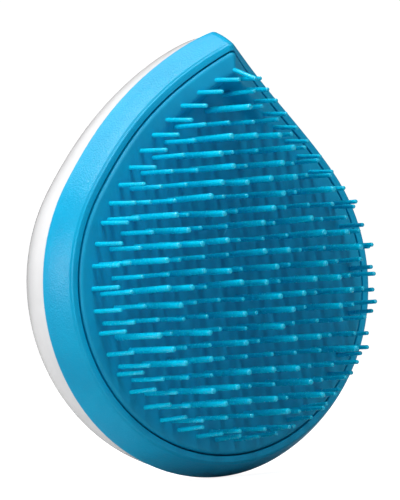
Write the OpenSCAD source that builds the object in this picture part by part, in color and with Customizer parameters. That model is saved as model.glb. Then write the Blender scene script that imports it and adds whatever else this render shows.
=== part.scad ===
// Palm-held scalp massager brush: a domed back shell, a flared grip ring and a flexible bristle pad
// that is screwed to a retaining plate behind the ring. The brush stands upright, pointed end up,
// with the bristles along -Y. Outlines lie in the XZ plane, depths run along +Y.

/* [Outline] */
// Radius of the round lower part of the bristle pad
pad_r = 36.3; // [34:0.1:38]
// Angle above the horizontal where the long side arcs take over
side_angle = 35.4; // [32:0.1:40]
// Radius of the two long side arcs
side_r = 109; // [100:1:130]
// Radius of the pointed end
tip_r = 1.3; // [1:0.1:3]
// How far the pointed end sweeps forward
sweep = 10.2; // [0:0.1:12]
// Height over which the pointed end sweeps forward
sweep_len = 23; // [20:0.5:30]
// Share by which the ring's flare narrows at the very tip
tip_relief = 0.15; // [0:0.01:0.25]

/* [Grip ring] */
// Width of the flat front face
face_w = 1.7; // [1.4:0.1:2.5]
// How much wider the back edge is than the front edge, on each side
flare = 3.1; // [2:0.1:4]
// Outward bulge of the side wall between its edges
wall_bulge = 0.35; // [0:0.05:0.6]
// Depth from front face to back edge
ring_depth = 6.9; // [6:0.1:8]
// Wall thickness
ring_wall = 1.5; // [1.2:0.1:2]
// Gap between the pad and the ring
groove = 0.35; // [0.2:0.05:0.5]
// Depth of the groove down to the shelf that carries the pad
groove_depth = 2.4; // [2:0.1:3]
// Thickness of that shelf
shelf = 1.5; // [1.2:0.1:2]
// How far the shelf reaches in under the pad
shelf_reach = 3.3; // [2.5:0.1:4]

/* [Bristle pad] */
// How far the pad stands in front of the ring
proud = 0.5; // [0.2:0.1:1]
// Radius of the pad's front edge
pad_edge = 0.8; // [0.4:0.1:1]

/* [Back shell] */
// Depth of the dome behind the ring
dome_depth = 24.5; // [20:0.5:28]
// Step in from the ring's back edge to the dome
waist = 0.85; // [0.5:0.05:1.2]
// Squareness of the dome's profile, where 2 is an ellipse
dome_power = 2.5; // [2:0.1:3]
// Height of the dome's crown above the centre of the round part
crown_z = 9; // [0:1:14]
// Size of the flat on the crown, as a share of the outline
crown_flat = 0.28; // [0.15:0.01:0.35]
// Wall thickness
shell_wall = 1.8; // [1.5:0.1:2.5]

/* [Bristles] */
// Distance from the pad's outline to the edge row
edge_inset = 3.2; // [3:0.1:4]
// Number of bristles in the edge row
edge_count = 48; // [42:2:52]
// How much nearer the tip the edge row is pulled together
edge_crowd = 7.4; // [0:0.2:9]
// Inward lean of the edge row, in degrees
edge_lean = 3.4; // [0:0.1:6]
// Length of the edge bristles
edge_len = 9.2; // [8:0.1:10]
// Length of the short bristles
short_len = 11.8; // [11:0.1:13]
// Length of the long bristles
long_len = 16.7; // [15:0.1:18]
// Root and tip radius of the edge bristles
edge_radii = [0.52, 0.47];
// Root and tip radius of the short bristles
short_radii = [0.54, 0.47];
// Root and tip radius of the long bristles
long_radii = [0.75, 0.65];
// Distance between rows, and half the distance between bristles in a row
pitch = 3.1; // [3:0.05:3.3]

/* [Retaining plate] */
// Thickness of the plate
plate_t = 1.8; // [1.5:0.1:2.2]
// Height at which the plate ends, below the swept end
plate_top = 25; // [20:1:26]
// Length of the screw sleeves behind the plate
sleeve_len = 4; // [3:0.5:5]
// Radius of the pilot holes in the pad's bosses
pilot_r = 1.2; // [1:0.05:1.3]

/* [Hidden] */

// One string for each row of bristles, from the pointed end down: l is long and s is short
rows = ["s", "ls", "ssss", "sllls", "slssls", "sslslss", "ssllllss", "sslsslsls", "slslslssss",
        "slsslslss", "slllssslls", "slsssllssls", "ssllslslss", "sllsllsllss", "slsssllsls",
        "sssslslslss", "lslsslssss", "lsslsllss", "sllsssssls", "ssslllsss", "sllsslss",
        "slllsls", "ssslss", "sss"];
// Height of the topmost row, in row distances
first_row = 13;
// How far the topmost rows stand off centre, one by one
row_shift = [1.8, 1.3, -0.6];

// Screw positions across the pad, as X and Z
screws = [[-21, 10], [21, 10], [-23, -13], [23, -13], [-8, -28], [8, -28]];
boss_r = 3;
head_r = 3.9;
head_h = 1.7;
play = 0.05;    // gap between pieces that touch
root_gap = 0.03;    // gap between a bristle's root and the pad
tip_lean = 17;      // downward lean of the topmost bristle, in degrees

// Centre of the right-hand side arc
side_x = -(side_r - pad_r) * cos(side_angle);
side_z = -(side_r - pad_r) * sin(side_angle);
// Centre and top of the pointed end
tip_z = side_z + sqrt(pow(side_r - tip_r, 2) - side_x * side_x);
top_z = tip_z + tip_r;
tip_angle = atan2(tip_z - side_z, -side_x);
sweep_z = top_z - sweep_len;

// Polar angle of the flat on the crown, and its height as a share of the dome's depth
flat_a = acos(pow(crown_flat, dome_power / 2));
flat_h = pow(sin(flat_a), 2 / dome_power);

// Offsets from the pad's outline
ring_out = face_w + flare;
shell_out = ring_out - waist;

// Numbers of segments along the round part, a side and the tip
n_low = 34;
n_side = 20;
n_tip = 6;

n_half = n_low + n_side + n_tip + 1;
n_all = 2 * n_half - 2;

function fold(i) = i < n_half ? i : n_all - i;
function side(i) = i < n_half ? 1 : -1;

// Forward sweep at a height, and its slope there
function swept(z) = z > sweep_z ? -sweep * pow((min(z, top_z) - sweep_z) / sweep_len, 3) : 0;
function slope(z) = z > sweep_z ? 3 * sweep / sweep_len * pow((min(z, top_z) - sweep_z) / sweep_len, 2) : 0;
// Depth where a bristle of radius r starts, just clear of the pad
function root_y(x, z, r) = face_y(x, z) - root_gap - slope(z) * r;

// Radius and height of the pointed end's arc at offset o: it stays almost as sharp further out
function tip_r_at(o) = tip_r + 0.15 * o;
function tip_z_at(o) = side_z + sqrt(pow(side_r + o - tip_r_at(o), 2) - side_x * side_x);
function tip_angle_at(o) = atan2(tip_z_at(o) - side_z, -side_x);
function arc(cx, cz, r, a) = [cx + r * cos(a), cz + r * sin(a)];
// Point j of the right half of the outline at offset o, from bottom to top
function half_at(j, o) = j < n_low ? arc(0, 0, pad_r + o, -90 + j * (90 + side_angle) / n_low)
    : let (b = tip_angle_at(o)) j < n_low + n_side
    ? arc(side_x, side_z, side_r + o, side_angle + (j - n_low) * (b - side_angle) / n_side)
    : arc(0, tip_z_at(o), tip_r_at(o), b + (j - n_low - n_side) * (90 - b) / n_tip);
// Height and forward sweep of each point of the pad's own outline
base_z = [for (j = [0:n_half - 1]) half_at(j, 0)[1]];
function sweep_at(i) = swept(base_z[fold(i)]);
function relief_at(j) = 1 - tip_relief * pow(max(0, (base_z[j] - sweep_z) / sweep_len), 10);
// Point of station i at offset o from the pad's outline, in the XZ plane
function flat_at(i, o) = let (j = fold(i), p = half_at(j, o > 0 ? o * relief_at(j) : o))
    [side(i) * p[0], p[1]];
// The same point drawn in towards the crown by a factor
function drawn(p, k) = [p[0] * k, crown_z + (p[1] - crown_z) * k];

// Closed loop of points at offset o and depth y
function loop(o, y) = [for (i = [0:n_all - 1]) let (p = flat_at(i, o)) [p[0], y + sweep_at(i), p[1]]];
// The pad's rim follows the sweep of the outline beside it, and its middle that of its own height
rim_inset = 3.4;
mid_inset = 6.5;
function rim_share(inset) = let (t = min(1, max(0, (mid_inset - inset) / (mid_inset - rim_inset))))
    t * t * (3 - 2 * t);
function pad_loop(o, y) = [for (i = [0:n_all - 1]) let (p = flat_at(i, o), f = rim_share(-o))
    [p[0], y + f * sweep_at(i) + (1 - f) * swept(p[1]), p[1]]];
// Loop in the pad's middle, drawn in by k
function inner_loop(k, y) = [for (i = [0:n_all - 1]) let (p = drawn(flat_at(i, -mid_inset), k))
    [p[0], y + swept(p[1]), p[1]]];
// Depth of the pad's face at a point of its upper half
function face_y(x, z) = let (dx = abs(x) - side_x, dz = z - side_z, reach = sqrt(dx * dx + dz * dz),
    f = rim_share(side_r - reach), foot = side_z + dz * side_r / reach)
    f * swept(foot) + (1 - f) * swept(z) - proud;
// Loop on a dome whose rim has offset o and whose crown is d behind depth y: the sweep fades out
// towards the flat on the crown
function dome_loop(o, y, d, a) = let (k = pow(cos(a), 2 / dome_power), h = pow(sin(a), 2 / dome_power))
    [for (i = [0:n_all - 1]) let (p = drawn(flat_at(i, o), k))
        [p[0], y + d * h + sweep_at(i) * (1 - h / flat_h), p[1]]];

// Position of the whole brush: it stands on z = 0, with y = 0 half way through its depth
edge_top = side_z + sqrt(pow(side_r - edge_inset, 2) - side_x * side_x);
front_most = edge_len * cos(tip_lean) + 0.45 * edge_radii[1] * sin(tip_lean)
    - root_y(0, edge_top, edge_radii[0]);
back_most = ring_depth + play + dome_depth * flat_h;
lift = pad_r + ring_out;
shift = (front_most - back_most) / 2;

// Faces between loop a and loop b
function band(a, b) = [for (i = [0:n_all - 1]) let (j = (i + 1) % n_all, p = a * n_all, q = b * n_all)
    each [[p + i, p + j, q + i], [p + j, q + j, q + i]]];
// Fan from loop a to the point with index c
function fan(a, c, turn) = [for (i = [0:n_all - 1]) let (j = (i + 1) % n_all, p = a * n_all)
    turn ? [p + j, p + i, c] : [p + i, p + j, c]];

// Solid band whose section is closed: the last loop joins the first
module ring_solid(loops) {
    n = len(loops);
    polyhedron([for (l = loops) each l], [for (k = [0:n - 1]) each band(k, (k + 1) % n)]);
}

// Solid between a first and a last point on the axis
module capped_solid(loops, first, last) {
    n = len(loops);
    polyhedron(concat([for (l = loops) each l], [first, last]),
        concat(fan(0, n * n_all, true), [for (k = [0:n - 2]) each band(k, k + 1)],
            fan(n - 1, n * n_all + 1, false)));
}

// Moves a piece drawn around the centre of the round part to its place in the brush
module placed() translate([0, shift, lift]) children();

// Extrudes a drawing in the XZ plane from depth y0 to y1
module slab(y0, y1) translate([0, y1, 0]) rotate([90, 0, 0]) linear_extrude(y1 - y0) children();

// Cylinder along Y from depth y0 to y1
module bar(p, r, y0, y1, fine = 32)
    translate([p[0], y0, p[1]]) rotate([-90, 0, 0]) cylinder(r = r, h = y1 - y0, $fn = fine);

// Flat teardrop at offset o from the pad's outline, up to the pointed end's arcs
module teardrop(o) {
    far = 2 * pad_r;
    circle(r = pad_r + o, $fn = 96);
    intersection() {
        translate([side_x, side_z]) circle(r = side_r + o, $fn = 256);
        translate([-side_x, side_z]) circle(r = side_r + o, $fn = 256);
        polygon([[0, 0], far * [cos(side_angle), sin(side_angle)], [far, far], [-far, far],
            far * [-cos(side_angle), sin(side_angle)]]);
    }
}

// Half-width of the ring's side wall at depth y, as an offset from the pad's outline
function wall_at(u) = face_w + flare * u * (1 + wall_bulge * (1 - u));

module grip_ring() {
    color([0.10, 0.62, 0.80]) placed() ring_solid(concat(
        [loop(groove - 0.1, 0), loop(face_w - 0.25, 0)],
        [for (u = [0.03, 0.15, 0.3, 0.45, 0.6, 0.75, 0.88, 0.97]) loop(wall_at(u), u * ring_depth)],
        [loop(ring_out - 0.25, ring_depth), loop(ring_out - ring_wall, ring_depth),
         loop(face_w - 0.1, groove_depth + shelf), loop(-shelf_reach, groove_depth + shelf),
         loop(-shelf_reach, groove_depth), loop(groove - 0.1, groove_depth)]));
}

module bristle_pad() {
    back = groove_depth - play;
    color([0.08, 0.58, 0.76]) placed() difference() {
        union() {
            capped_solid(concat(
                [for (k = [0.3, 0.6, 0.85]) inner_loop(k, -proud)],
                [for (o = [mid_inset, 5.7, 4.95, 4.2, rim_inset]) pad_loop(-o, -proud)],
                [for (a = [0, 30, 60, 90])
                    loop(-0.1 - pad_edge * (1 - sin(a)), -proud + pad_edge * (1 - cos(a)))],
                [loop(-0.1, back), pad_loop(-rim_inset, back), pad_loop(-4.95, back),
                 pad_loop(-mid_inset, back), inner_loop(0.5, back)]),
                [0, -proud, crown_z], [0, back, crown_z]);
            for (p = screws) bar(p, boss_r, back - 0.5, groove_depth + shelf + plate_t + sleeve_len - 0.2);
        }
        for (p = screws) bar(p, pilot_r, back + 0.4, groove_depth + shelf + plate_t + sleeve_len + 1);
    }
}

module back_shell() {
    angles = [0, 6, 13, 21, 30, 39, 48, 57, 65, 72];
    inside = dome_depth - shell_wall;
    rim_y = ring_depth + play;
    crown_y = rim_y + dome_depth * flat_h;
    lip = shell_out - shell_wall;
    color("white") placed() capped_solid(concat(
        [dome_loop(shell_out, rim_y, dome_depth, flat_a)],
        [for (i = [len(angles) - 1:-1:0]) dome_loop(shell_out, rim_y, dome_depth, angles[i])],
        [loop(lip + 0.2, rim_y), loop(lip, rim_y - 1), loop(lip - 0.8, rim_y - 1)],
        [for (i = [0:2:len(angles) - 1]) dome_loop(lip - 0.8 + i * 0.04, rim_y + 0.5, inside - 0.5, angles[i])]),
        [0, crown_y, crown_z], [0, rim_y + inside, crown_z]);
}

module retaining_plate() {
    y0 = groove_depth + shelf + play;
    y1 = y0 + plate_t;
    color([0.93, 0.93, 0.92]) placed() difference() {
        union() {
            slab(y0, y1) intersection() {
                teardrop(1);
                translate([-60, plate_top - 120]) square([120, 120]);
            }
            for (p = screws) bar(p, boss_r + 2, y1 - 0.5, y1 + sleeve_len - 0.05);
            // stiffening ribs
            slab(y1 - 0.5, y1 + 2.5) for (x = [-1, 1]) translate([x * 12 - 0.7, -26]) square([1.4, 44]);
        }
        for (p = screws) bar(p, boss_r + 0.2, y0 - 1, y1 + sleeve_len + 1);
    }
}

module plate_screw() {
    seat = groove_depth + shelf + plate_t + sleeve_len + play;
    difference() {
        union() {
            bar([0, 0], head_r, seat, seat + head_h);
            bar([0, 0], pilot_r - 0.05, seat - 6.2, seat + 0.2, 24);
        }
        for (a = [0, 90]) translate([0, seat + head_h, 0]) rotate([0, a, 0])
            cube([4.2, 1.8, 0.8], center = true);
    }
}

module plate_screws() {
    color([0.72, 0.73, 0.75]) placed() for (p = screws) translate([p[0], 0, p[1]]) plate_screw();
}

// One bristle along -Y from the origin: a slim cone with a chamfered end
module bristle(radii, length) {
    soft = 0.55 * radii[1];
    rotate([90, 0, 0]) rotate_extrude($fn = 20) polygon([[0, 0], [radii[0], 0],
        [radii[1], length - soft], [radii[1] - soft, length], [0, length]]);
}

// Edge row: distance along the half outline, measured on the inset curve from the pointed end
edge_r = pad_r - edge_inset;
edge_side_r = side_r - edge_inset;
edge_tip_angle = acos(-side_x / edge_side_r);
side_run = edge_side_r * (edge_tip_angle - side_angle) * PI / 180;
half_run = side_run + edge_r * (90 + side_angle) * PI / 180;
function edge_angle(d) = d < side_run ? edge_tip_angle - d / edge_side_r * 180 / PI
    : side_angle - (d - side_run) / edge_r * 180 / PI;
function edge_point(d) = let (a = edge_angle(d)) d < side_run
    ? [side_x + edge_side_r * cos(a), side_z + edge_side_r * sin(a)] : edge_r * [cos(a), sin(a)];
// Distance of bristle i from the pointed end: the first few stand closer together
edge_step = (half_run + edge_crowd) / (edge_count / 2);
function edge_d(i) = min(half_run, i * edge_step - edge_crowd * (1 - exp(-i / 5.6)));

module edge_bristles() {
    last = edge_count / 2;
    color([0.12, 0.72, 0.88]) placed() for (s = [-1, 1], i = [s < 0 ? 0 : 1 : s < 0 ? last : last - 1])
        let (d = edge_d(i), p = edge_point(d), a = i == 0 ? 90 : edge_angle(d),
            lean = i == 0 ? tip_lean : edge_lean)
        translate([-s * p[0], root_y(p[0], p[1], edge_radii[0]), p[1]])
        rotate([lean * sin(a), 0, lean * s * cos(a)]) bristle(edge_radii, edge_len);
}

// Bristles of one kind in the staggered rows
module field(kind, radii, length) {
    for (k = [0:len(rows) - 1], i = [0:len(rows[k]) - 1])
        if (rows[k][i] == kind)
            let (x = (2 * i - len(rows[k]) + 1) * pitch + (k < len(row_shift) ? row_shift[k] : 0),
                z = (first_row - k) * pitch)
            translate([x, root_y(x, z, radii[0]), z]) bristle(radii, length);
}

module short_bristles() {
    color([0.12, 0.72, 0.88]) placed() field("s", short_radii, short_len);
}

module long_bristles() {
    color([0.14, 0.76, 0.90]) placed() field("l", long_radii, long_len);
}

back_shell();
retaining_plate();
plate_screws();
grip_ring();
bristle_pad();
edge_bristles();
short_bristles();
long_bristles();
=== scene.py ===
import bpy
import math
import random
from mathutils import Matrix, Vector


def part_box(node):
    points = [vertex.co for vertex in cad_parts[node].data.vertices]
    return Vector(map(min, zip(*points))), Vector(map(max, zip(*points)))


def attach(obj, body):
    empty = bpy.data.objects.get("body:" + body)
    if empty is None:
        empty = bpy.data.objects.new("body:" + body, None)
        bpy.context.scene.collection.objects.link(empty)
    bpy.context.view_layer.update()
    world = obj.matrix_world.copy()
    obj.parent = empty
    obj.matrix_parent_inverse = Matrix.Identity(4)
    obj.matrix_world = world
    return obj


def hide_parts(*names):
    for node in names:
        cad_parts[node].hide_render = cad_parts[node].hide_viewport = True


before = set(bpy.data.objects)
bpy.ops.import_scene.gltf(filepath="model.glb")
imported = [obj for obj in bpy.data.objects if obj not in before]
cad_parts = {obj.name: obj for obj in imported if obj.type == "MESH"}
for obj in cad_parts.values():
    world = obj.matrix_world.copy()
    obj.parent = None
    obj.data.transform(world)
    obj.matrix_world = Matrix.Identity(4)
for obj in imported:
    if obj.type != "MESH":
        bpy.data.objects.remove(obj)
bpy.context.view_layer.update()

mm = 0.001

# The teardrop outline of the pad. Every other outline is an offset of it.
teardrop = dict(roundRadius=36.3, sideAngle=35.4, sideRadius=109.0, tipRadius=1.3, tipGrowth=0.15,
                tipRelief=0.15, sweep=10.2, sweepLength=23.0, lowSteps=66, sideSteps=44, tipSteps=12)

ringLow, ringHigh = [Vector(c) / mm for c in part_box("grip_ring")]
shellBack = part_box("back_shell")[1][1] / mm
sideSpin = math.radians(teardrop["sideAngle"])
sideX = -(teardrop["sideRadius"] - teardrop["roundRadius"]) * math.cos(sideSpin)
sideZ = -(teardrop["sideRadius"] - teardrop["roundRadius"]) * math.sin(sideSpin)
halfCount = teardrop["lowSteps"] + teardrop["sideSteps"] + teardrop["tipSteps"] + 1
aroundCount = 2 * halfCount - 2
centreX = (ringLow.x + ringHigh.x) / 2
ringReach = 4.738                                       # how far the ring stands out past the pad
ringDepth = 6.9
centreZ = ringLow.z + teardrop["roundRadius"] + ringReach
snug = (ringHigh.x - ringLow.x) / 2 / (teardrop["roundRadius"] + ringReach)
frontY = ringHigh.y - ringDepth                         # the ring's front face, below the swept end


def arcPoint(cx, cz, r, a):
    return cx + r * math.cos(a), cz + r * math.sin(a)


def halfPoint(j, o):
    # from the bottom up the right-hand side to the pointed end
    t = teardrop
    low, side = t["lowSteps"], t["sideSteps"]
    if j < low:
        return arcPoint(0, 0, t["roundRadius"] + o, -math.pi / 2 + j * (math.pi / 2 + sideSpin) / low)
    tip = t["tipRadius"] + t["tipGrowth"] * o
    tipZ = sideZ + math.sqrt((t["sideRadius"] + o - tip) ** 2 - sideX * sideX)
    b = math.atan2(tipZ - sideZ, -sideX)
    if j < low + side:
        return arcPoint(sideX, sideZ, t["sideRadius"] + o, sideSpin + (j - low) * (b - sideSpin) / side)
    return arcPoint(0, tipZ, tip, b + (j - low - side) * (math.pi / 2 - b) / t["tipSteps"])


baseZ = [halfPoint(j, 0)[1] for j in range(halfCount)]
topZ = baseZ[-1]


def sweepShare(z):
    return max(0.0, (min(z, topZ) - topZ + teardrop["sweepLength"]) / teardrop["sweepLength"])


def sweptBy(z):
    return -teardrop["sweep"] * sweepShare(z) ** 3


def stationPoint(i, o):
    i %= aroundCount
    left = i >= halfCount
    j = aroundCount - i if left else i
    if o > 0:
        o *= 1 - teardrop["tipRelief"] * sweepShare(baseZ[j]) ** 10
    x, z = halfPoint(j, o)
    return (-x if left else x) * snug, z


def stationSweep(i):
    i %= aroundCount
    return sweptBy(baseZ[aroundCount - i if i >= halfCount else i])


def place(x, y, z):
    return ((centreX + x) * mm, (frontY + y) * mm, (centreZ + z) * mm)


def outlineLoop(o, y):
    loop = []
    for i in range(aroundCount):
        x, z = stationPoint(i, o)
        loop.append(place(x, y + stationSweep(i), z))
    return loop


def meshPiece(name, verts, faces, material, slot, *nodes):
    mesh = bpy.data.meshes.new(name)
    mesh.from_pydata([tuple(v) for v in verts], [], faces)
    mesh.validate()
    mesh.update()
    for p in mesh.polygons:
        p.use_smooth = True
    mesh.materials.append(material)
    piece = bpy.data.objects.new(name, mesh)
    bpy.context.scene.collection.objects.link(piece)
    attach(piece, "root")
    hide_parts(*nodes)
    return piece


def loftFaces(rows, around, closed=False):
    faces = []
    for r in range(rows if closed else rows - 1):
        a, b = r * around, ((r + 1) % rows) * around
        for i in range(around):
            j = (i + 1) % around
            faces.append((a + i, a + j, b + j, b + i))
    return faces


def capFaces(row, around, centre, turn):
    a = row * around
    pairs = [(a + i, a + (i + 1) % around) for i in range(around)]
    return [(q, p, centre) if turn else (p, q, centre) for p, q in pairs]


def newMaterial(name):
    material = bpy.data.materials.new(name)
    material.use_nodes = True
    tree = material.node_tree
    return material, tree, tree.nodes["Principled BSDF"]


def addNode(tree, kind, **values):
    node = tree.nodes.new(kind)
    for key, value in values.items():
        if key in node.inputs:
            node.inputs[key].default_value = value
        else:
            setattr(node, key, value)
    return node


def mottle(tree, dark, light, scale, coords):
    # slow drift between two close tones of one colour
    noise = addNode(tree, "ShaderNodeTexNoise", Scale=scale, Detail=5.0, Roughness=0.6)
    ramp = addNode(tree, "ShaderNodeValToRGB")
    ramp.color_ramp.elements[0].position = 0.3
    ramp.color_ramp.elements[1].position = 0.7
    ramp.color_ramp.elements[0].color = dark + (1,)
    ramp.color_ramp.elements[1].color = light + (1,)
    tree.links.new(coords.outputs["Object"], noise.inputs["Vector"])
    tree.links.new(noise.outputs["Fac"], ramp.inputs["Fac"])
    return ramp.outputs["Color"]


def varyRoughness(tree, shader, low, high, scale, coords):
    noise = addNode(tree, "ShaderNodeTexNoise", Scale=scale, Detail=6.0, Roughness=0.65)
    spread = addNode(tree, "ShaderNodeMapRange")
    spread.inputs["From Min"].default_value = 0.3
    spread.inputs["From Max"].default_value = 0.7
    spread.inputs["To Min"].default_value = low
    spread.inputs["To Max"].default_value = high
    tree.links.new(coords.outputs["Object"], noise.inputs["Vector"])
    tree.links.new(noise.outputs["Fac"], spread.inputs["Value"])
    tree.links.new(spread.outputs["Result"], shader.inputs["Roughness"])


def paintedEdgeHighlight(tree, colour, highlightTint, amount):
    # painted highlight: the sharpest convex edges turn a paler blue, standing in for light catching them
    geometry = addNode(tree, "ShaderNodeNewGeometry")
    ramp = addNode(tree, "ShaderNodeMapRange")
    ramp.inputs["From Min"].default_value = 0.56
    ramp.inputs["From Max"].default_value = 0.72
    ramp.inputs["To Max"].default_value = amount
    mix = addNode(tree, "ShaderNodeMix", data_type="RGBA")
    tree.links.new(geometry.outputs["Pointiness"], ramp.inputs["Value"])
    tree.links.new(ramp.outputs["Result"], mix.inputs[0])
    tree.links.new(colour, mix.inputs[6])
    mix.inputs[7].default_value = highlightTint + (1,)
    return mix.outputs[2]


def mouldedGrain(tree, shader, coords, grainScale, grainDepth, poreScale, poreDepth):
    # etched cells with fine pores over them
    cells = addNode(tree, "ShaderNodeTexVoronoi", feature="SMOOTH_F1", Scale=grainScale)
    pores = addNode(tree, "ShaderNodeTexNoise", Scale=poreScale, Detail=4.0)
    low = addNode(tree, "ShaderNodeBump", Strength=1.0, Distance=grainDepth * mm)
    high = addNode(tree, "ShaderNodeBump", Strength=1.0, Distance=poreDepth * mm)
    tree.links.new(coords.outputs["Object"], cells.inputs["Vector"])
    tree.links.new(coords.outputs["Object"], pores.inputs["Vector"])
    tree.links.new(cells.outputs["Distance"], low.inputs["Height"])
    tree.links.new(pores.outputs["Fac"], high.inputs["Height"])
    tree.links.new(low.outputs["Normal"], high.inputs["Normal"])
    tree.links.new(high.outputs["Normal"], shader.inputs["Normal"])


def grainedBlue():
    material, tree, shader = newMaterial("grainedBlue")
    coords = addNode(tree, "ShaderNodeTexCoord")
    colour = mottle(tree, (0.0, 0.34, 0.60), (0.0, 0.39, 0.66), 120.0, coords)
    # painted highlight: the ring's sharp edges turn a paler blue
    colour = paintedEdgeHighlight(tree, colour, (0.10, 0.56, 0.80), 0.6)
    tree.links.new(colour, shader.inputs["Base Color"])
    varyRoughness(tree, shader, 0.27, 0.37, 900.0, coords)
    mouldedGrain(tree, shader, coords, 2900.0, 0.045, 9000.0, 0.012)
    shader.inputs["Specular IOR Level"].default_value = 0.25
    return material


def padBlue():
    material, tree, shader = newMaterial("padBlue")
    coords = addNode(tree, "ShaderNodeTexCoord")
    colour = mottle(tree, (0.0, 0.29, 0.52), (0.0, 0.34, 0.58), 160.0, coords)
    # painted highlight: the pad's rounded edge turns a paler blue
    colour = paintedEdgeHighlight(tree, colour, (0.06, 0.55, 0.80), 0.5)
    tree.links.new(colour, shader.inputs["Base Color"])
    varyRoughness(tree, shader, 0.36, 0.5, 700.0, coords)
    mouldedGrain(tree, shader, coords, 3000.0, 0.012, 9000.0, 0.006)
    shader.inputs["Specular IOR Level"].default_value = 0.25
    shader.inputs["Subsurface Weight"].default_value = 0.15
    shader.inputs["Subsurface Radius"].default_value = (0.0005, 0.0015, 0.002)
    return material


def bristleBlue():
    material, tree, shader = newMaterial("bristleBlue")
    coords = addNode(tree, "ShaderNodeTexCoord")
    colour = mottle(tree, (0.0, 0.50, 0.74), (0.0, 0.57, 0.82), 240.0, coords)
    tree.links.new(colour, shader.inputs["Base Color"])
    varyRoughness(tree, shader, 0.2, 0.3, 1500.0, coords)
    mouldedGrain(tree, shader, coords, 4000.0, 0.003, 12000.0, 0.002)
    shader.inputs["Specular IOR Level"].default_value = 0.5
    shader.inputs["Subsurface Weight"].default_value = 0.4
    shader.inputs["Subsurface Radius"].default_value = (0.0005, 0.0015, 0.002)
    return material


def glossWhite():
    material, tree, shader = newMaterial("glossWhite")
    coords = addNode(tree, "ShaderNodeTexCoord")
    colour = mottle(tree, (0.81, 0.81, 0.82), (0.87, 0.87, 0.88), 60.0, coords)
    tree.links.new(colour, shader.inputs["Base Color"])
    varyRoughness(tree, shader, 0.10, 0.20, 300.0, coords)
    mouldedGrain(tree, shader, coords, 180.0, 0.004, 2500.0, 0.001)
    shader.inputs["Coat Weight"].default_value = 0.3
    shader.inputs["Coat Roughness"].default_value = 0.08
    return material


def innerWhite():
    material, tree, shader = newMaterial("innerWhite")
    coords = addNode(tree, "ShaderNodeTexCoord")
    tree.links.new(mottle(tree, (0.70, 0.70, 0.68), (0.78, 0.78, 0.76), 90.0, coords),
                   shader.inputs["Base Color"])
    varyRoughness(tree, shader, 0.45, 0.6, 500.0, coords)
    mouldedGrain(tree, shader, coords, 1500.0, 0.01, 6000.0, 0.004)
    return material


def screwSteel():
    material, tree, shader = newMaterial("screwSteel")
    coords = addNode(tree, "ShaderNodeTexCoord")
    tree.links.new(mottle(tree, (0.48, 0.49, 0.51), (0.60, 0.61, 0.63), 800.0, coords),
                   shader.inputs["Base Color"])
    varyRoughness(tree, shader, 0.22, 0.40, 2500.0, coords)
    mouldedGrain(tree, shader, coords, 5000.0, 0.004, 9000.0, 0.002)
    shader.inputs["Metallic"].default_value = 1.0
    return material


gripRing = dict(faceWidth=1.7, flare=3.1, bulge=0.35, depth=ringDepth, wall=1.5, groove=0.25,
                grooveDepth=2.4, shelf=1.5, shelfReach=3.3, innerRound=0.16, outerRound=0.34, backRound=0.22)


def ringLoops(g):
    def wallAt(u):
        return g["faceWidth"] + g["flare"] * u * (1 + g["bulge"] * (1 - u))

    def corner(o, y, r, start):
        return [(o + r * math.cos(math.radians(start + k * 22.5)),
                 y + r * math.sin(math.radians(start + k * 22.5))) for k in range(5)]

    section = corner(g["groove"] + g["innerRound"], g["innerRound"], g["innerRound"], 180)
    section += corner(g["faceWidth"] - g["outerRound"], g["outerRound"], g["outerRound"], 270)
    back = 1 - g["backRound"] / g["depth"]
    steps = 18
    section += [(wallAt(u), u * g["depth"]) for u in
                [0.055 + (back - 0.055) * k / steps for k in range(steps + 1)]]
    out = wallAt(back)
    r = g["backRound"]
    section += [(o, y) for o, y in corner(out - r, g["depth"] - r, r, 0)[1:]]
    section += [(g["faceWidth"] + g["flare"] - g["wall"], g["depth"]),
                (g["faceWidth"] - 0.1, g["grooveDepth"] + g["shelf"])]
    loops = [outlineLoop(o, y) for o, y in section]
    loops.append(outlineLoop(-g["shelfReach"], g["grooveDepth"] + g["shelf"]))
    loops.append(outlineLoop(-g["shelfReach"], g["grooveDepth"]))
    loops.append(outlineLoop(g["groove"], g["grooveDepth"]))
    return loops


def makeRing():
    loops = ringLoops(gripRing)
    return meshPiece("gripRing", [v for l in loops for v in l],
                     loftFaces(len(loops), aroundCount, closed=True), grainedBlue(),
                     "ring_blue", "grip_ring")


backShell = dict(depth=24.5, waist=0.85, power=2.5, crownZ=9.0, flat=0.28, wall=1.8,
                 lip=0.8, steps=44)


def shellLoops(s, offset, y, depth, stop, steps):
    n = s["power"]
    flatAngle = math.acos(s["flat"] ** (n / 2))
    flatHeight = math.sin(flatAngle) ** (2 / n)
    loops = []
    for k in range(steps + 1):
        a = stop * flatAngle * (k / steps) ** 1.3
        share = math.cos(a) ** (2 / n)
        rise = math.sin(a) ** (2 / n)
        loop = []
        for i in range(aroundCount):
            x, z = stationPoint(i, offset)
            x, z = x * share, s["crownZ"] + (z - s["crownZ"]) * share
            loop.append(place(x, y + depth * rise + stationSweep(i) * (1 - rise / flatHeight), z))
        loops.append(loop)
    return loops


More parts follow.
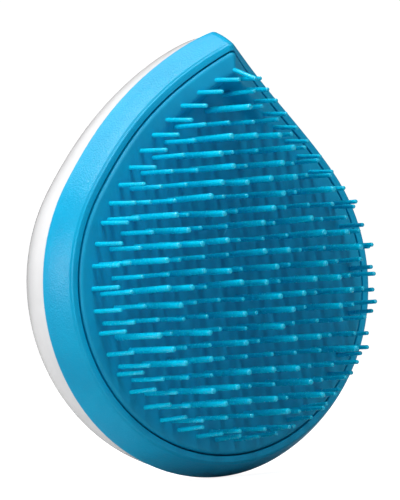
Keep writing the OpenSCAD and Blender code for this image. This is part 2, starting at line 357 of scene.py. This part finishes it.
def makeShell():
    s = backShell
    g = gripRing
    edge = g["faceWidth"] + g["flare"] - s["waist"]
    rimY = g["depth"] + 0.05
    outer = shellLoops(s, edge, rimY, s["depth"], 1.0, s["steps"])
    lip = edge - s["wall"]
    inner = shellLoops(s, lip - s["lip"], rimY + 0.5, s["depth"] - s["wall"] - 0.5, 0.97, 16)
    rim = [outlineLoop(lip + 0.2, rimY), outlineLoop(lip, rimY - 1),
           outlineLoop(lip - s["lip"], rimY - 1)]
    loops = list(reversed(outer)) + rim + inner
    count = len(loops) * aroundCount
    flatY = shellBack - frontY
    verts = [v for l in loops for v in l]
    verts += [place(0, flatY, s["crownZ"]), place(0, rimY + s["depth"] - s["wall"], s["crownZ"])]
    faces = capFaces(0, aroundCount, count, True) + loftFaces(len(loops), aroundCount)
    faces += capFaces(len(loops) - 1, aroundCount, count + 1, False)
    return meshPiece("backShell", verts, faces, glossWhite(), "shell_white", "back_shell")


bristlePad = dict(proud=0.5, rimInset=3.4, midInset=6.5, hubZ=9.0, edge=0.8, inset=0.1, back=2.35)


def rimShare(inset):
    # 1 on the pad's rim, which follows the outline beside it, and 0 in its middle
    p = bristlePad
    t = min(1.0, max(0.0, (p["midInset"] - inset) / (p["midInset"] - p["rimInset"])))
    return t * t * (3 - 2 * t)


def padLoop(o, y):
    f = rimShare(-o)
    loop = []
    for i in range(aroundCount):
        x, z = stationPoint(i, o)
        loop.append(place(x, y + f * stationSweep(i) + (1 - f) * sweptBy(z), z))
    return loop


def middleLoop(share, y):
    loop = []
    for i in range(aroundCount):
        x, z = stationPoint(i, -bristlePad["midInset"])
        x, z = x * share, bristlePad["hubZ"] + (z - bristlePad["hubZ"]) * share
        loop.append(place(x, y + sweptBy(z), z))
    return loop


def faceDepth(x, z):
    # depth of the pad's face at a point
    dx, dz = abs(x) - sideX, z - sideZ
    reach = math.hypot(dx, dz)
    f = rimShare(teardrop["sideRadius"] - reach)
    foot = sideZ + dz * teardrop["sideRadius"] / reach
    return f * sweptBy(foot) + (1 - f) * sweptBy(z) - bristlePad["proud"]


def makePad():
    p = bristlePad
    mid, rim = p["midInset"], p["rimInset"]
    loops = [middleLoop(k / 10, -p["proud"]) for k in range(1, 10)]
    loops += [padLoop(-mid + (mid - rim) * k / 10, -p["proud"]) for k in range(11)]
    loops += [outlineLoop(-o, -p["proud"]) for o in (2.6, 1.7)]
    for k in range(9):
        a = math.radians(k * 90 / 8)
        loops.append(outlineLoop(-p["inset"] - p["edge"] * (1 - math.sin(a)),
                                 -p["proud"] + p["edge"] * (1 - math.cos(a))))
    loops.append(outlineLoop(-p["inset"], p["back"]))
    loops += [padLoop(-rim, p["back"]), padLoop(-mid, p["back"]), middleLoop(0.5, p["back"])]
    count = len(loops) * aroundCount
    verts = [v for l in loops for v in l]
    verts += [place(0, -p["proud"], p["hubZ"]), place(0, p["back"], p["hubZ"])]
    faces = capFaces(0, aroundCount, count, True) + loftFaces(len(loops), aroundCount)
    faces += capFaces(len(loops) - 1, aroundCount, count + 1, False)
    return meshPiece("bristlePad", verts, faces, padBlue(), "pad_blue", "bristle_pad")


# Rows from the pointed end down, and left to right: l is long, s is short.
bristleField = dict(pitch=3.1, firstRow=13, shift=(1.8, 1.3, -0.6), rows=(
    "s ls ssss sllls slssls sslslss ssllllss sslsslsls slslslssss slsslslss slllssslls "
    "slsssllssls ssllslslss sllsllsllss slsssllsls sssslslslss lslsslssss lsslsllss sllsssssls "
    "ssslllsss sllsslss slllsls ssslss sss").split())
bristleKinds = {
    "e": dict(length=9.2, root=0.52, shaft=0.5, tip=0.46, wander=0.5, inset=3.2, count=48, crowd=7.4,
              lean=3.4, tipLean=17.0),
    "s": dict(length=11.8, root=0.54, shaft=0.52, tip=0.47, wander=0.5),
    "l": dict(length=16.7, root=0.75, shaft=0.72, tip=0.65, wander=0.6)}


def bristleProfile(kind):
    k = bristleKinds[kind]
    length, tip = k["length"], k["tip"]
    profile = [(k["root"], -0.35), (k["root"], 0.0), (k["root"] * 0.96, 0.12)]
    profile += [(k["shaft"] + (k["root"] * 0.96 - k["shaft"]) * (1 - t) ** 3, 0.12 + 1.1 * t)
                for t in (0.35, 0.7, 1.0)]
    profile += [(k["shaft"] + (tip - k["shaft"]) * t, 1.22 + (length - 1.22 - tip * 0.8) * t)
                for t in (0.25, 0.5, 0.75, 1.0)]
    for a in (18, 36, 54, 70, 82):
        r = math.radians(a)
        profile.append((tip * math.cos(r), length - tip * 0.8 * (1 - math.sin(r))))
    return profile


def addBristle(verts, faces, kind, root, leanX, leanZ, around=14):
    profile = bristleProfile(kind)
    turn = Matrix.Rotation(leanX, 3, "X") @ Matrix.Rotation(leanZ, 3, "Z")
    start = len(verts)
    for r, d in profile:
        for i in range(around):
            a = 2 * math.pi * i / around
            v = turn @ Vector((r * math.cos(a), -d, r * math.sin(a))) + root
            verts.append(place(v.x, v.y, v.z))
    for row in range(len(profile) - 1):
        a, b = start + row * around, start + (row + 1) * around
        for i in range(around):
            j = (i + 1) % around
            faces.append((a + i, b + i, b + j, a + j))
    faces.append(tuple(start + i for i in range(around)))
    last = start + (len(profile) - 1) * around
    faces.append(tuple(last + i for i in reversed(range(around))))


def edgeRow():
    # the row that follows the pad's edge, closer together near the pointed end
    k = bristleKinds["e"]
    r, side = teardrop["roundRadius"] - k["inset"], teardrop["sideRadius"] - k["inset"]
    b = math.acos(-sideX / side)
    sideRun = side * (b - sideSpin)
    total = sideRun + r * (sideSpin + math.pi / 2)
    half = k["count"] // 2
    step = (total + k["crowd"]) / half
    spots = [(0.0, sideZ + side * math.sin(b), math.pi / 2, k["tipLean"], 1)]
    for sign in (1, -1):
        for i in range(1, half + (1 if sign < 0 else 0)):
            d = min(total, i * step - k["crowd"] * (1 - math.exp(-i / 5.6)))
            a = b - d / side if d < sideRun else sideSpin - (d - sideRun) / r
            x, z = arcPoint(sideX, sideZ, side, a) if d < sideRun else arcPoint(0, 0, r, a)
            spots.append((-sign * x, z, a, k["lean"], sign))
    return spots


def makeBristles():
    rng = random.Random(7)
    material = bristleBlue()
    lists = {k: ([], []) for k in "esl"}
    for x, z, a, lean, sign in edgeRow():
        w = bristleKinds["e"]["wander"]
        leanX = math.radians(lean * math.sin(a) + rng.gauss(0, w))
        leanZ = math.radians(lean * sign * math.cos(a) + rng.gauss(0, w))
        addBristle(*lists["e"], "e", Vector((x, faceDepth(x, z), z)), leanX, leanZ)
    for k, row in enumerate(bristleField["rows"]):
        z = (bristleField["firstRow"] - k) * bristleField["pitch"]
        for i, kind in enumerate(row):
            x = (2 * i - len(row) + 1) * bristleField["pitch"]
            if k < len(bristleField["shift"]):
                x += bristleField["shift"][k]
            w = bristleKinds[kind]["wander"]
            addBristle(*lists[kind], kind, Vector((x, faceDepth(x, z), z)),
                       math.radians(rng.gauss(0, w)), math.radians(rng.gauss(0, w)))
    for kind, name, node in (("e", "edgeBristles", "edge_bristles"),
                             ("s", "shortBristles", "short_bristles"),
                             ("l", "longBristles", "long_bristles")):
        meshPiece(name, lists[kind][0], lists[kind][1], material, "bristle_blue", node)


def dressHidden():
    for node, material in (("retaining_plate", innerWhite()), ("plate_screws", screwSteel())):
        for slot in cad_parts[node].material_slots:
            slot.material = material


studio = dict(aim=(0.0, 3.78, 4.73), distance=1419.0, azimuth=-33.7, elevation=0.23, roll=4.18,
              lens=478.4, slideLeft=2.379, slideUp=2.797)


def makeCamera(s):
    a, e, r = [math.radians(s[k]) for k in ("azimuth", "elevation", "roll")]
    back = Vector((math.sin(a) * math.cos(e), -math.cos(a) * math.cos(e), math.sin(e)))
    right = Vector((math.cos(a), math.sin(a), 0))
    up = back.cross(right)
    right, up = right * math.cos(r) - up * math.sin(r), up * math.cos(r) + right * math.sin(r)
    away = back * s["distance"] - right * s["slideLeft"] + up * s["slideUp"]
    spot = Vector(place(*s["aim"])) + away * mm
    lens = bpy.data.cameras.new("studioCamera")
    lens.lens = s["lens"]
    lens.sensor_width = 36
    lens.clip_start = 0.05
    lens.clip_end = 50
    camera = bpy.data.objects.new("studioCamera", lens)
    turn = Matrix((right, up, back)).transposed().to_4x4()
    camera.matrix_world = Matrix.Translation(spot) @ turn
    bpy.context.scene.collection.objects.link(camera)
    bpy.context.scene.camera = camera


# name: azimuth, elevation, distance and size in metres, power in watts
softLights = dict(sideLight=(-92, 14, 0.9, 0.4, 3.0), topLight=(-90, 66, 0.9, 0.3, 4.0),
                  backLight=(-150, 56, 1.0, 0.5, 2.4), frontFill=(-8, 48, 1.2, 0.4, 5.6))
skyStrength = 0.25


def softLight(name, azimuth, elevation, distance, size, power):
    a, e = math.radians(azimuth), math.radians(elevation)
    back = Vector((math.sin(a) * math.cos(e), -math.cos(a) * math.cos(e), math.sin(e)))
    light = bpy.data.lights.new(name, "AREA")
    light.shape = "DISK"
    light.size = size
    light.energy = power
    obj = bpy.data.objects.new(name, light)
    obj.location = Vector(place(0, 0, 0)) + back * distance
    obj.rotation_euler = back.to_track_quat("Z", "Y").to_euler()
    bpy.context.scene.collection.objects.link(obj)


def paleFloor():
    # bright to look at, but it throws little light back on the brush
    material, tree, shader = newMaterial("paleFloor")
    shader.inputs["Base Color"].default_value = (0.5, 0.5, 0.5, 1)
    shader.inputs["Roughness"].default_value = 0.9
    shader.inputs["Specular IOR Level"].default_value = 0.1
    glow = addNode(tree, "ShaderNodeEmission", Strength=0.92)
    both = addNode(tree, "ShaderNodeAddShader")
    ray = addNode(tree, "ShaderNodeLightPath")
    pick = addNode(tree, "ShaderNodeMixShader")
    tree.links.new(shader.outputs["BSDF"], both.inputs[0])
    tree.links.new(glow.outputs["Emission"], both.inputs[1])
    tree.links.new(ray.outputs["Is Camera Ray"], pick.inputs["Fac"])
    tree.links.new(shader.outputs["BSDF"], pick.inputs[1])
    tree.links.new(both.outputs["Shader"], pick.inputs[2])
    tree.links.new(pick.outputs["Shader"], tree.nodes["Material Output"].inputs["Surface"])
    return material


floorShape = dict(wide=6.0, near=-4.0, far=2.6, bend=0.8, tall=3.0)


def makeStage():
    # a pale floor that curves up into a backdrop
    wide, near, far, bend, tall = floorShape.values()
    line = [(near, 0.0)] + [(far - bend + bend * math.sin(t), bend - bend * math.cos(t))
                            for t in [k * math.pi / 2 / 16 for k in range(17)]] + [(far, tall)]
    verts = [(side * wide / 2, y, z - 0.0002) for side in (-1, 1) for y, z in line]
    count = len(line)
    faces = [(i, i + 1, count + i + 1, count + i) for i in range(count - 1)]
    mesh = bpy.data.meshes.new("studioFloor")
    mesh.from_pydata(verts, [], faces)
    for p in mesh.polygons:
        p.use_smooth = True
    mesh.materials.append(paleFloor())
    floor = bpy.data.objects.new("studioFloor", mesh)
    bpy.context.scene.collection.objects.link(floor)
    floor.rotation_euler = (0, 0, math.radians(studio["azimuth"]))


def lightStudio():
    scene = bpy.context.scene
    scene.view_settings.view_transform = "Standard"
    world = bpy.data.worlds.new("studioWorld")
    world.use_nodes = True
    world.node_tree.nodes["Background"].inputs["Color"].default_value = (1, 1, 1, 1)
    world.node_tree.nodes["Background"].inputs["Strength"].default_value = skyStrength
    scene.world = world
    for name, values in softLights.items():
        softLight(name, *values)


makeCamera(studio)
print("camera set")
makeRing()
print("grip ring made")
makeShell()
print("back shell made")
makePad()
print("bristle pad made")
makeBristles()
print("bristles made")
dressHidden()
makeStage()
lightStudio()
print("studio lit")
